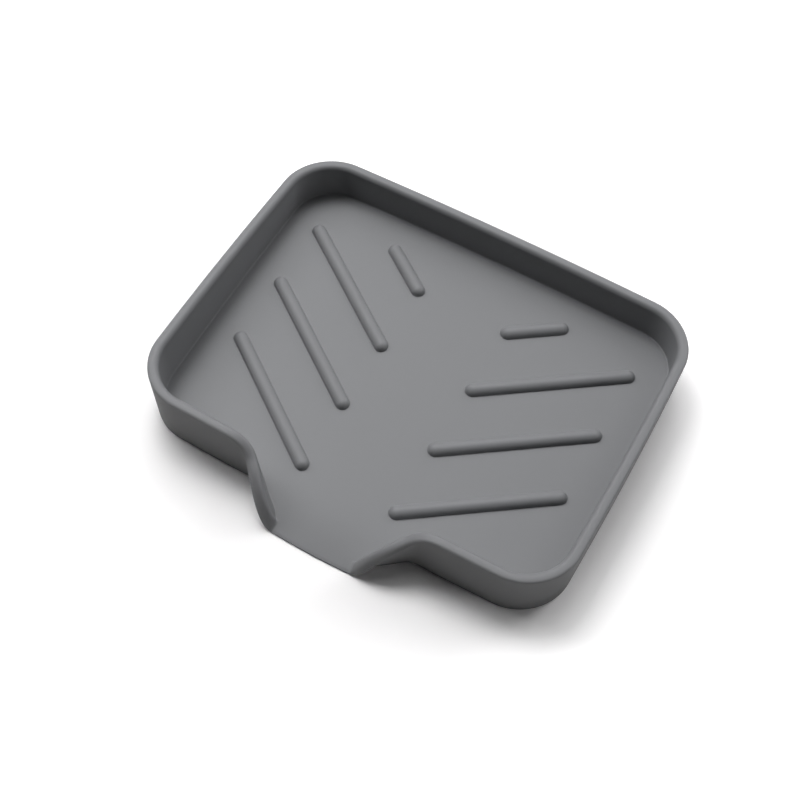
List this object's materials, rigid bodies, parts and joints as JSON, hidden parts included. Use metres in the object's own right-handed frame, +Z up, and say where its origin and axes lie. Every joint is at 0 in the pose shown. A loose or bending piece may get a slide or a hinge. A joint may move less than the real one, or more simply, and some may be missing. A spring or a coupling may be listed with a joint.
{
  "type": "soap dish",
  "caption": "One-piece silicone soap dish: a shallow walled tray with raised herringbone ribs and a floor that slopes down to a pouring spout in one long side.",
  "frame": {"origin": "centre of the bounding box at the bottom, on the surface that the dish stands on", "axes": "+Z up out of the tray, -Y out through the spout, +X to the right seen from the spout"},
  "size_m": [0.13, 0.1098, 0.019],
  "materials": {
    "silicone": "matte moulded silicone, mid grey"
  },
  "bodies": {
    "root": {"tray": "silicone"}
  },
  "joints": []
}
